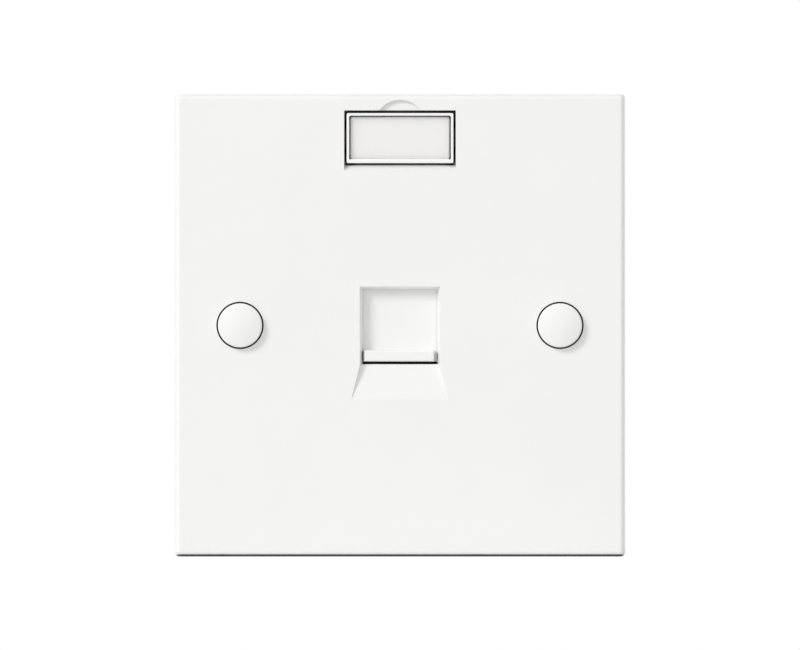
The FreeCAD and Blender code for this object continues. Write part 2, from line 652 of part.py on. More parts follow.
# --- Screw caps ------------------------------------------------------------------------------------------
def screw_cap(side):
    """A domed cap on a thin skirt, with small ribs that grip the seat."""
    edge_y = FACE_Y - CAP_EDGE
    skirt_y = FACE_Y + CAP_SKIRT_DEPTH
    roof_y = edge_y + CAP_ROOF
    bore = CAP_RADIUS - CAP_SKIRT_WALL
    walls = [
        (CAP_RADIUS, edge_y + CAP_EDGE_BREAK),
        (CAP_RADIUS, skirt_y),
        (bore, skirt_y),
        (bore, roof_y),
        (0, roof_y),
    ]
    cap = turned(dome_profile(edge_y) + walls, 0, 0)
    ribs = [grip_rib(number * 360 / CAP_RIB_COUNT) for number in range(CAP_RIB_COUNT)]
    return cap.fuse(ribs).removeSplitter().translated(Vector(side * SCREW_PITCH / 2, 0, 0))


def dome_profile(edge_y):
    """Points of a cap's dome from its crown to the chamfer, on an arc that would meet the rim at edge_y."""
    radius = (CAP_RADIUS**2 + CAP_DOME**2) / (2 * CAP_DOME)
    centre_y = edge_y - CAP_DOME + radius
    points = []
    for number in range(CAP_DOME_STRETCHES + 1):
        reach = (CAP_RADIUS - CAP_EDGE_BREAK) * number / CAP_DOME_STRETCHES
        points.append((reach, centre_y - math.sqrt(radius**2 - reach**2)))
    return points


def grip_rib(angle):
    """One rib outside a cap's skirt, just short of the seat's wall, turned about the cap's axis."""
    skirt_y = FACE_Y + CAP_SKIRT_DEPTH
    outer = rod(CAP_SEAT_RADIUS - SEAT_GAP, 0, 0, (skirt_y - CAP_RIB_DEPTH, skirt_y))
    inner = rod(CAP_RADIUS - CAP_SKIRT_WALL / 2, 0, 0, (skirt_y - CAP_RIB_DEPTH, skirt_y))
    half = CAP_RIB_WIDTH / 2
    sector = block((-half, half), (skirt_y - CAP_RIB_DEPTH, skirt_y), (0, CAP_SEAT_RADIUS + REACH))
    rib = outer.cut(inner).common(sector)
    rib.rotate(Vector(0, 0, 0), Vector(0, 1, 0), angle)
    return rib


# --- Label -----------------------------------------------------------------------------------------------
def label_cover():
    """The clear window: a sunken pane in a rim whose skirt stands round the card."""
    back_y = RECESS_FLOOR_Y - SEAT_GAP
    half_width = COVER_WIDTH / 2
    body = rounded_slab(half_width, (COVER_FOOT, COVER_HEAD), COVER_CORNER_RADIUS, (COVER_FRONT_Y, back_y))
    front_z = (COVER_FOOT + COVER_FOOT_RIM, COVER_HEAD - COVER_RIM)
    front_y = (COVER_FRONT_Y - REACH, WINDOW_FRONT_Y)
    front = rounded_slab(half_width - COVER_RIM, front_z, WINDOW_CORNER_RADIUS, front_y)
    hollow_z = (COVER_FOOT + COVER_SKIRT, COVER_HEAD - COVER_SKIRT)
    hollow_y = (WINDOW_BACK_Y, back_y + REACH)
    behind = rounded_slab(half_width - COVER_SKIRT, hollow_z, WINDOW_CORNER_RADIUS, hollow_y)
    nibs = []
    for z_offset in (-NIB_SPACING / 2, NIB_SPACING / 2):
        nibs += mirrored_pair(side_nib((COVER_FOOT + COVER_HEAD) / 2 + z_offset, back_y))
    return body.cut([front, behind, window_step()]).fuse(nibs).removeSplitter()


def window_step():
    """The narrow step sunk round the pane's sides and head. It runs out against the rim at the foot."""
    half_width = COVER_WIDTH / 2 - COVER_RIM
    y = (WINDOW_FRONT_Y - COVER_SINK / 2, COVER_FRONT_Y + GROOVE_SINK)
    z = (COVER_FOOT + COVER_FOOT_RIM, COVER_HEAD - COVER_RIM)
    outer = rounded_slab(half_width, z, WINDOW_CORNER_RADIUS, y)
    pane_z = (z[0] - REACH, z[1] - GROOVE_WIDTH)
    return outer.cut(rounded_slab(half_width - GROOVE_WIDTH, pane_z, WINDOW_CORNER_RADIUS / 2, y))


def side_nib(z, back_y):
    """A wedge on the cover's right-hand side that bears on the recess's wall."""
    half_width = COVER_WIDTH / 2
    reach = RECESS_HALF_WIDTH - SEAT_GAP
    root = half_width - COVER_SKIRT / 2
    profile = [
        Vector(root, WINDOW_BACK_Y, 0),
        Vector(half_width, WINDOW_BACK_Y, 0),
        Vector(reach, (WINDOW_BACK_Y + back_y) / 2, 0),
        Vector(reach, back_y, 0),
        Vector(root, back_y, 0),
    ]
    wedge = Part.Face(Part.makePolygon(profile + profile[:1])).extrude(Vector(0, 0, NIB_HEIGHT))
    return wedge.translated(Vector(0, 0, z - NIB_HEIGHT / 2))


def label_card():
    """The blank card that lies on the recess's raised bed, just behind the window."""
    return inside_skirt(CARD_GAP, (CARD_FRONT_Y, CARD_BACK_Y))


def inside_skirt(gap, y):
    """A slab that stays clear of the cover's skirt by the gap."""
    half_width = COVER_WIDTH / 2 - COVER_SKIRT - gap
    z = (COVER_FOOT + COVER_SKIRT + gap, COVER_HEAD - COVER_SKIRT - gap)
    return rounded_slab(half_width, z, WINDOW_CORNER_RADIUS, y)


# --- Assembly --------------------------------------------------------------------------------------------
def all_pieces():
    """Every piece of the assembly by its node's name."""
    pieces = {
        "faceplate": faceplate(),
        "shutter": shutter(),
        "jack_carrier": jack_carrier(),
        "label_cover": label_cover(),
        "label_card": label_card(),
    }
    for name, side in SIDES.items():
        pieces[f"shutter_spring_{name}"] = shutter_spring(side)
        pieces[f"screw_cap_{name}"] = screw_cap(side)
        pieces[f"mounting_screw_{name}"] = mounting_screw(side)
    for name, (x, z) in SCREW_PLACES.items():
        pieces[f"carrier_screw_{name}"] = carrier_screw(x, z)
    return pieces


os.makedirs("parts", exist_ok=True)
for node, shape in all_pieces().items():
    shape.exportStep(f"parts/{node}.step")
    print(f"{node}: {len(shape.Solids)} solid, valid {shape.isValid()}, {shape.Volume:.1f} mm3")
print(f"shutter travel {SHUTTER_TRAVEL:.2f} mm, channel head z {CHANNEL_HEAD:.2f}")
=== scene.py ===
"""Looks of a single-port keystone faceplate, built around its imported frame.

The faceplate, shutter, carrier, label cover and card keep their CAD shape and
are dressed here. The caps are rebuilt as turned domes, the springs as smooth
coils and the screws with cut threads and recesses. Lengths in the dataclasses
are millimetres; meshes are made in metres.
"""

from __future__ import annotations

import logging
import math
from dataclasses import dataclass
from enum import Enum

import bpy
import numpy as np
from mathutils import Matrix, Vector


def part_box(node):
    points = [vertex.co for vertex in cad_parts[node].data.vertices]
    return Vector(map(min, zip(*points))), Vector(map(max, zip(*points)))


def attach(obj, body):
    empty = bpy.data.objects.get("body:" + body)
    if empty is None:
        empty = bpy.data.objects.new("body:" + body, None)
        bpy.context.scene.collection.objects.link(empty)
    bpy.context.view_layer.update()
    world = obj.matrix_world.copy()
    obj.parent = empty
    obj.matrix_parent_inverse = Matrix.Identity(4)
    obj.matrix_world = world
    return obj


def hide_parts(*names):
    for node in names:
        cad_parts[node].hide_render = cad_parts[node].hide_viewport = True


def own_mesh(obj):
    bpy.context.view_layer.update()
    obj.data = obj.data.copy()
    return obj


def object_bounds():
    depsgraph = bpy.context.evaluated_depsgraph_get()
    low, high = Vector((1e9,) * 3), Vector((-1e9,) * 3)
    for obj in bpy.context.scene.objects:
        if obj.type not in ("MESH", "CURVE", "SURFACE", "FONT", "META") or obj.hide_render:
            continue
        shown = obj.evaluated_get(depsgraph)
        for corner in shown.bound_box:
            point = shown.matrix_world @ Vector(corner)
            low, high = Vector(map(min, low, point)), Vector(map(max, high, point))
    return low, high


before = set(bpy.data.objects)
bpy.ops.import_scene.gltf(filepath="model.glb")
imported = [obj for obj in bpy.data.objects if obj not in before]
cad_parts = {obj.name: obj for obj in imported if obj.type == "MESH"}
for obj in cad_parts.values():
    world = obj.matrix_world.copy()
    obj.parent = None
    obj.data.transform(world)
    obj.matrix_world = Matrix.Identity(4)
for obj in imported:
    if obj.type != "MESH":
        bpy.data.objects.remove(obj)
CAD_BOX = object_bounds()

MM = 0.001
TURN = 2.0 * math.pi
QUARTER = TURN / 4.0
LOG = logging.getLogger("faceplate")

WHITE_LIGHT = (1.0, 1.0, 1.0, 1.0)

# Slack in millimetres when two lengths worked out apart are compared.
ROUNDING = 0.0015

# Nearly all values of a noise pattern lie between these two.
NOISE_LOW = 0.3
NOISE_HIGH = 0.7

Node = bpy.types.Node
NodeTree = bpy.types.NodeTree
NodeSocket = bpy.types.NodeSocket
Material = bpy.types.Material
Piece = bpy.types.Object


class Direction(Enum):
    """Which way a screw's tip points along the depth of the plate."""

    TOWARDS_WALL = 1.0
    TOWARDS_FRONT = -1.0


class Drive(Enum):
    """Size of a screw's cross recess, as arm width and span in millimetres."""

    LARGE = (0.95, 3.9)
    SMALL = (0.65, 2.6)


# ---------------------------------------------------------------- shader help


def linear_colour(hex_code: str) -> tuple[float, float, float, float]:
    """Turns an sRGB hex colour into the linear values that shaders use.

    Args:
        hex_code: Six hex digits with a leading hash.

    Returns:
        Linear red, green and blue, and an alpha of 1.
    """
    encoded = [int(hex_code[i : i + 2], 16) / 255.0 for i in (1, 3, 5)]
    linear = [
        c / 12.92 if c <= 0.04045 else ((c + 0.055) / 1.055) ** 2.4 for c in encoded
    ]
    return (*linear, 1.0)


def add_node(
    tree: NodeTree, kind: str, inputs: dict | None = None, **settings: object
) -> Node:
    """Adds one node with its settings and links.

    Args:
        tree: Node tree that takes the node.
        kind: Blender's name for the node type.
        inputs: Value or output socket for each input, by name or position.
        **settings: The node's own attributes.

    Returns:
        The new node.
    """
    made = tree.nodes.new(kind)
    for name, value in settings.items():
        setattr(made, name, value)
    for key, value in (inputs or {}).items():
        if isinstance(value, NodeSocket):
            tree.links.new(value, made.inputs[key])
        else:
            made.inputs[key].default_value = value
    return made


def empty_material(name: str) -> tuple[Material, NodeTree, Node]:
    """Makes a material that holds only its output node.

    Args:
        name: Name of the material.

    Returns:
        The material, its node tree and the output node.
    """
    material = bpy.data.materials.new(name)
    material.use_nodes = True
    material.node_tree.nodes.clear()
    output = add_node(material.node_tree, "ShaderNodeOutputMaterial")
    return material, material.node_tree, output


def per_size(size_mm: float) -> float:
    """Texture scale whose features measure size_mm millimetres in object space."""
    return 1.0 / (size_mm * MM)


# ------------------------------------------------------------------ finishes


@dataclass(frozen=True)
class GapShade:
    """Painted shade in a gap too narrow for light to come back out of.

    How closed a point is comes from the share of directions that are free
    within the reach: fully dark at the closed share, untouched at the open one.
    """

    reach_mm: float = 2.5
    closed: float = 0.17
    open: float = 0.25
    # Colour painted at the bottom of a gap as its shade.
    colour: str = "#0B0B0C"
    samples: int = 32

    def over(self, tree: NodeTree, body: NodeSocket | tuple) -> NodeSocket:
        """Paints shade into a colour inside gaps.

        Args:
            tree: Node tree that takes the nodes.
            body: Colour of the surface in the open, as a socket or a linear value.

        Returns:
            The colour socket.
        """
        free = add_node(
            tree,
            "ShaderNodeAmbientOcclusion",
            {"Distance": self.reach_mm * MM},
            samples=self.samples,
        )
        share = add_node(
            tree,
            "ShaderNodeMapRange",
            {
                "Value": free.outputs["AO"],
                "From Min": self.closed,
                "From Max": self.open,
            },
            interpolation_type="SMOOTHSTEP",
        )
        mixed = add_node(
            tree,
            "ShaderNodeMix",
            {0: share.outputs["Result"], 6: linear_colour(self.colour), 7: body},
            data_type="RGBA",
        )
        return mixed.outputs[2]


@dataclass(frozen=True)
class MouldedPlastic:
    """Opaque injection-moulded plastic.

    The tool's surface shows as a fine relief and the melt's flow as a faint
    mottle. Edges have the small radius that moulding leaves on them. The grain
    is drawn coarser than a real tool's, which would be too fine to show.
    """

    name: str
    colour: str
    # Painted shade in narrow gaps; None leaves it out.
    gap: GapShade | None = GapShade()
    roughness: float = 0.42
    roughness_spread: float = 0.06
    specular: float = 0.3
    ior: float = 1.54
    mottle_mm: float = 16.0
    mottle: float = 0.012
    grain_mm: float = 0.9
    grain_depth_mm: float = 0.003
    edge_radius_mm: float = 0.14
    edge_samples: int = 8

    def material(self) -> Material:
        """Builds the node material.

        Returns:
            The finished material.
        """
        material, tree, output = empty_material(self.name)
        place = add_node(tree, "ShaderNodeTexCoord").outputs["Object"]
        edge = add_node(
            tree,
            "ShaderNodeBevel",
            {"Radius": self.edge_radius_mm * MM},
            samples=self.edge_samples,
        )
        grain = add_node(
            tree,
            "ShaderNodeTexNoise",
            {"Vector": place, "Scale": per_size(self.grain_mm), "Detail": 3.0},
        )
        relief = add_node(
            tree,
            "ShaderNodeBump",
            {
                "Strength": 1.0,
                "Distance": self.grain_depth_mm * MM,
                "Height": grain.outputs["Fac"],
                "Normal": edge.outputs["Normal"],
            },
        )
        gloss = add_node(
            tree,
            "ShaderNodeMapRange",
            {
                "Value": grain.outputs["Fac"],
                "From Min": NOISE_LOW,
                "From Max": NOISE_HIGH,
                "To Min": self.roughness - self.roughness_spread / 2,
                "To Max": self.roughness + self.roughness_spread / 2,
            },
        )
        body = self._body(tree, place)
        shader = add_node(
            tree,
            "ShaderNodeBsdfPrincipled",
            {
                # Body colour with painted shade in its gaps.
                "Base Color": self.gap.over(tree, body) if self.gap else body,
                "Roughness": gloss.outputs["Result"],
                "IOR": self.ior,
                "Specular IOR Level": self.specular,
                "Normal": relief.outputs["Normal"],
            },
        )
        tree.links.new(shader.outputs["BSDF"], output.inputs["Surface"])
        return material

    def _body(self, tree: NodeTree, place: NodeSocket) -> NodeSocket:
        """Body colour with the melt's faint mottle.

        Args:
            tree: Node tree that takes the nodes.
            place: Object coordinates.

        Returns:
            The colour socket.
        """
        flow = add_node(
            tree,
            "ShaderNodeTexNoise",
            {"Vector": place, "Scale": per_size(self.mottle_mm), "Detail": 2.0},
        )
        tone = add_node(
            tree,
            "ShaderNodeMapRange",
            {
                "Value": flow.outputs["Fac"],
                "From Min": NOISE_LOW,
                "From Max": NOISE_HIGH,
                "To Min": 1.0 - self.mottle,
                "To Max": 1.0,
            },
        )
        body = add_node(
            tree,
            "ShaderNodeVectorMath",
            {0: linear_colour(self.colour)[:3], "Scale": tone.outputs["Result"]},
            operation="SCALE",
        )
        return body.outputs["Vector"]


@dataclass(frozen=True)
class ClearWindow:
    """Moulded clear polycarbonate.

    The pane is polished and lets the card show. The rim round it is painted
    near-opaque white in place of the light caught in it, and the step between
    the two gets painted shade. Most of the light that falls on the rim goes on
    through it to the card.
    """

    name: str = "clear_polycarbonate"
    # Near-opaque white painted on the rim in place of the light caught in the clear
    # plastic.
    rim_colour: str = "#FBFBFA"
    pane_colour: str = "#F1F1EF"
    # Painted shade in the step round the pane and at the rim's sides.
    gap: GapShade = GapShade(reach_mm=1.0, closed=0.34, open=0.46)
    roughness: float = 0.14
    ior: float = 1.58
    rim_alpha: float = 0.97
    pane_alpha: float = 0.07
    rim_shadow: float = 0.25
    ripple_mm: float = 4.0
    ripple_depth_mm: float = 0.004

    def material(
        self, centre: tuple[float, float, float], pane: tuple[float, float]
    ) -> Material:
        """Builds the node material.

        Args:
            centre: Centre of the pane, in metres.
            pane: Half width and half height of the pane, in metres.

        Returns:
            The finished material.
        """
        material, tree, output = empty_material(self.name)
        place = add_node(tree, "ShaderNodeTexCoord").outputs["Object"]
        off_centre = add_node(
            tree, "ShaderNodeVectorMath", {0: place, 1: centre}, operation="SUBTRACT"
        )
        away = add_node(
            tree,
            "ShaderNodeVectorMath",
            {0: off_centre.outputs["Vector"]},
            operation="ABSOLUTE",
        )
        share = add_node(
            tree,
            "ShaderNodeVectorMath",
            {0: away.outputs["Vector"], 1: (1.0 / pane[0], 0.0, 1.0 / pane[1])},
            operation="MULTIPLY",
        )
        parts = add_node(
            tree, "ShaderNodeSeparateXYZ", {"Vector": share.outputs["Vector"]}
        )
        farther = add_node(
            tree,
            "ShaderNodeMath",
            {0: parts.outputs["X"], 1: parts.outputs["Z"]},
            operation="MAXIMUM",
        )
        rim = add_node(
            tree,
            "ShaderNodeMath",
            {0: farther.outputs["Value"], 1: 1.0},
            operation="GREATER_THAN",
        )
        stopped = add_node(
            tree,
            "ShaderNodeMapRange",
            {
                "Value": add_node(tree, "ShaderNodeLightPath").outputs["Is Shadow Ray"],
                "To Min": self.rim_alpha,
                "To Max": self.rim_shadow,
            },
        )
        clearness = add_node(
            tree,
            "ShaderNodeMapRange",
            {
                "Value": rim.outputs["Value"],
                "To Min": self.pane_alpha,
                "To Max": stopped.outputs["Result"],
            },
        )
        # Rim's painted white with its painted shade; the pane keeps its own tint.
        dark = self.gap.over(tree, linear_colour(self.rim_colour))
        tint = add_node(
            tree,
            "ShaderNodeMix",
            {0: rim.outputs["Value"], 6: linear_colour(self.pane_colour), 7: dark},
            data_type="RGBA",
        )
        ripple = add_node(
            tree,
            "ShaderNodeTexNoise",
            {"Vector": place, "Scale": per_size(self.ripple_mm), "Detail": 1.0},
        )
        relief = add_node(
            tree,
            "ShaderNodeBump",
            {
                "Strength": 1.0,
                "Distance": self.ripple_depth_mm * MM,
                "Height": ripple.outputs["Fac"],
            },
        )
        shader = add_node(
            tree,
            "ShaderNodeBsdfPrincipled",
            {
                "Base Color": tint.outputs[2],
                "Roughness": self.roughness,
                "IOR": self.ior,
                "Alpha": clearness.outputs["Result"],
                "Normal": relief.outputs["Normal"],
            },
        )
        tree.links.new(shader.outputs["BSDF"], output.inputs["Surface"])
        return material


@dataclass(frozen=True)
class LabelCard:
    """Uncoated card: matt, with pressed fibres that show as a faint fleck.

    The fibres lie along the card: squeezing the coordinates that way draws them
    longer. They are coarser than real ones, which would be too fine to show.
    """

    name: str = "uncoated_card"
    colour: str = "#F7F6F3"
    fleck: float = 0.035
    fibre_mm: float = 0.35
    fibre_squeeze: float = 0.45
    relief_mm: float = 0.012
    roughness: float = 0.85
    ior: float = 1.45

    def material(self) -> Material:
        """Builds the node material.

        Returns:
            The finished material.
        """
        material, tree, output = empty_material(self.name)
        place = add_node(tree, "ShaderNodeTexCoord").outputs["Object"]
        stretched = add_node(
            tree,
            "ShaderNodeMapping",
            {"Vector": place, "Scale": (self.fibre_squeeze, 1.0, 1.0)},
        )
        fibre = add_node(
            tree,
            "ShaderNodeTexNoise",
            {
                "Vector": stretched.outputs["Vector"],
                "Scale": per_size(self.fibre_mm),
                "Detail": 4.0,
            },
        )
        tone = add_node(
            tree,
            "ShaderNodeMapRange",
            {
                "Value": fibre.outputs["Fac"],
                "From Min": NOISE_LOW,
                "From Max": NOISE_HIGH,
                "To Min": 1.0 - self.fleck,
            },
        )
        body = add_node(
            tree,
            "ShaderNodeVectorMath",
            {0: linear_colour(self.colour)[:3], "Scale": tone.outputs["Result"]},
            operation="SCALE",
        )
        relief = add_node(
            tree,
            "ShaderNodeBump",
            {
                "Strength": 1.0,
                "Distance": self.relief_mm * MM,
                "Height": fibre.outputs["Fac"],
            },
        )
        shader = add_node(
            tree,
            "ShaderNodeBsdfPrincipled",
            {
                "Base Color": body.outputs["Vector"],
                "Roughness": self.roughness,
                "IOR": self.ior,
                "Normal": relief.outputs["Normal"],
            },
        )
        tree.links.new(shader.outputs["BSDF"], output.inputs["Surface"])
        return material


@dataclass(frozen=True)
class PlatedSteel:
    """Steel wire or screw stock.

    Zinc plate is pale and slightly cloudy; drawn spring wire is darker and
    carries fine marks from the die. The roots of a thread and the corners of
    a recess get painted shade. The pits are drawn coarser than real ones, and
    spread the gloss between two shares of the roughness.
    """

    name: str
    colour: str
    stain: str
    roughness: float
    # Painted shade in the thread's roots and the recess's corners.
    roots: GapShade = GapShade(
        reach_mm=0.5, closed=0.2, open=0.95, colour="#4C4F54", samples=8
    )
    cloud_mm: float = 1.2
    cloud_edge: tuple[float, float] = (0.4, 0.65)
    pit_mm: float = 0.12
    pit_depth_mm: float = 0.003
    pit_gloss: tuple[float, float] = (0.8, 1.25)

    def material(self) -> Material:
        """Builds the node material.

        Returns:
            The finished material.
        """
        material, tree, output = empty_material(self.name)
        place = add_node(tree, "ShaderNodeTexCoord").outputs["Object"]
        cloud = add_node(
            tree,
            "ShaderNodeTexNoise",
            {"Vector": place, "Scale": per_size(self.cloud_mm), "Detail": 3.0},
        )
        pits = add_node(
            tree,
            "ShaderNodeTexNoise",
            {"Vector": place, "Scale": per_size(self.pit_mm)},
        )
        patch = add_node(
            tree,
            "ShaderNodeMapRange",
            {
                "Value": cloud.outputs["Fac"],
                "From Min": self.cloud_edge[0],
                "From Max": self.cloud_edge[1],
            },
        )
        tint = add_node(
            tree,
            "ShaderNodeMix",
            {
                0: patch.outputs["Result"],
                6: linear_colour(self.colour),
                7: linear_colour(self.stain),
            },
            data_type="RGBA",
        )
        gloss = add_node(
            tree,
            "ShaderNodeMapRange",
            {
                "Value": pits.outputs["Fac"],
                "From Min": NOISE_LOW,
                "From Max": NOISE_HIGH,
                "To Min": self.roughness * self.pit_gloss[0],
                "To Max": self.roughness * self.pit_gloss[1],
            },
        )
        relief = add_node(
            tree,
            "ShaderNodeBump",
            {
                "Strength": 1.0,
                "Distance": self.pit_depth_mm * MM,
                "Height": pits.outputs["Fac"],
            },
        )
        shader = add_node(
            tree,
            "ShaderNodeBsdfPrincipled",
            {
                # Steel colour with painted shade in thread roots and recess corners.
                "Base Color": self.roots.over(tree, tint.outputs[2]),
                "Metallic": 1.0,
                "Roughness": gloss.outputs["Result"],
                "Normal": relief.outputs["Normal"],
            },
        )
        tree.links.new(shader.outputs["BSDF"], output.inputs["Surface"])
        return material


@dataclass(frozen=True)
class StudioPaint:
    """Matt white paint of the studio floor, which the camera sees lifted to white."""

    name: str = "studio_white"
    colour: str = "#EBEBEA"
    lift: float = 0.30

    def material(self) -> Material:
        """Builds the node material.

        Returns:
            The finished material.
        """
        material, tree, output = empty_material(self.name)
        seen = background_share(tree)
        strength = add_node(
            tree, "ShaderNodeMath", {0: seen, 1: self.lift}, operation="MULTIPLY"
        )
        matt = add_node(
            tree, "ShaderNodeBsdfDiffuse", {"Color": linear_colour(self.colour)}
        )
        glow = add_node(
            tree,
            "ShaderNodeEmission",
            {"Color": WHITE_LIGHT, "Strength": strength.outputs["Value"]},
        )
        both = add_node(
            tree,
            "ShaderNodeAddShader",
            {0: matt.outputs["BSDF"], 1: glow.outputs["Emission"]},
        )
        tree.links.new(both.outputs["Shader"], output.inputs["Surface"])
        return material


def background_share(tree: NodeTree) -> NodeSocket:
    """One for camera, glossy and transmission rays, nought for those that light things.

    Args:
        tree: Node tree that takes the nodes.

    Returns:
        The socket that holds the share.
    """
    path = add_node(tree, "ShaderNodeLightPath")
    mirrored = add_node(
        tree,
        "ShaderNodeMath",
        {0: path.outputs["Is Camera Ray"], 1: path.outputs["Is Glossy Ray"]},
        operation="MAXIMUM",
    )
    seen = add_node(
        tree,
        "ShaderNodeMath",
        {0: mirrored.outputs["Value"], 1: path.outputs["Is Transmission Ray"]},
        operation="MAXIMUM",
    )
    return seen.outputs["Value"]


# Plate white with painted shade in its gaps, round the caps and along its edge on the
# floor.
PLATE_WHITE = MouldedPlastic(name="moulded_plate_white", colour="#F3F3F1")
# One step lighter than the plate's white: painted light for the brighter look of the
# recessed shutter. No painted shade in its gaps.
SHUTTER_WHITE = MouldedPlastic(name="moulded_shutter_white", colour="#F4F4F2", gap=None)
# Painted shade with a long reach, so that deep slits and pockets in the carrier come out
# dark.
CARRIER_WHITE = MouldedPlastic(
    name="moulded_natural_white",
    colour="#E9E9E5",
    gap=GapShade(reach_mm=4.0, closed=0.3, open=0.42),
    roughness=0.55,
    grain_mm=0.35,
    grain_depth_mm=0.006,
    mottle_mm=9.0,
    mottle=0.035,
)
ZINC_PLATE = PlatedSteel(
    name="clear_zinc_plate", colour="#C9CCD0", stain="#BDC1C8", roughness=0.26
)
SPRING_WIRE = PlatedSteel(
    name="drawn_spring_wire", colour="#BDBEC0", stain="#A8A6A2", roughness=0.26
)


# ------------------------------------------------------------------- surfaces


def grid_quads(rows: int, columns: int) -> np.ndarray:
    """Quads of a tube of points numbered row by row, closed from last column to first.

    Args:
        rows: Number of rings of points.
        columns: Points in each ring.

    Returns:
        Corner numbers, one row of four per quad, facing outward where the
        row direction crossed with the column direction points outward.
    """
    row, column = np.meshgrid(np.arange(rows - 1), np.arange(columns), indexing="ij")
    after = (column + 1) % columns
    corners = (
        row * columns + column,
        (row + 1) * columns + column,
        (row + 1) * columns + after,
        row * columns + after,
    )
    return np.stack([c.ravel() for c in corners], axis=1)


def closed_tube(
    name: str,
    rings: np.ndarray,
    first: np.ndarray,
    last: np.ndarray,
    crease_deg: float,
) -> Piece:
    """Makes a closed mesh from rings of points and a pole at each end.

    Args:
        name: Name of the piece.
        rings: Points in metres, as rows by columns by three.
        first: Pole that closes the first ring.
        last: Pole that closes the last ring.
        crease_deg: Edges that turn more than this stay sharp.

    Returns:
        The new object, at the origin.
    """
    rows, columns = rings.shape[:2]
    points = np.vstack([rings.reshape(-1, 3), first, last])
    here = np.arange(columns)
    after = (here + 1) % columns
    base = (rows - 1) * columns
    first_pole = np.full(columns, rows * columns)
    last_pole = first_pole + 1
    start = np.stack([first_pole, here, after], axis=1)
    end = np.stack([base + here, last_pole, base + after], axis=1)
    mesh = bpy.data.meshes.new(name)
    faces = grid_quads(rows, columns).tolist() + start.tolist() + end.tolist()
    mesh.from_pydata(points.tolist(), [], faces)
    mesh.shade_smooth()
    mesh.set_sharp_from_angle(angle=math.radians(crease_deg))
    mesh.update()
    piece = bpy.data.objects.new(name, mesh)
    bpy.context.scene.collection.objects.link(piece)
    return piece


def smooth_step(values: np.ndarray) -> np.ndarray:
    """Cubic ease from nought to one, flat at both ends."""
    clipped = np.clip(values, 0.0, 1.0)
    return clipped * clipped * (3.0 - 2.0 * clipped)


def dress(node: str, material: Material) -> Piece:
    """Gives every material slot of a CAD node the same material.

    Args:
        node: Name of the CAD node.
        material: Material that the node takes.

    Returns:
        The node's object.
    """
    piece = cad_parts[node]
    for slot in piece.material_slots:
        slot.material = material
    LOG.info("%s dressed in %s", node, material.name)
    return piece


# --------------------------------------------------------------- sub-assemblies


@dataclass
class Mouldings:
    """The faceplate and its shutter, and the two caps that hide the fixing screws."""

    sides: tuple[str, ...] = ("left", "right")

    def build(self) -> None:
        """Dresses the mouldings in their plastics and builds the caps."""
        plate_white = PLATE_WHITE.material()
        dress("faceplate", plate_white)
        dress("shutter", SHUTTER_WHITE.material())
        for side in self.sides:
            ScrewCap(node=f"screw_cap_{side}").build(plate_white)


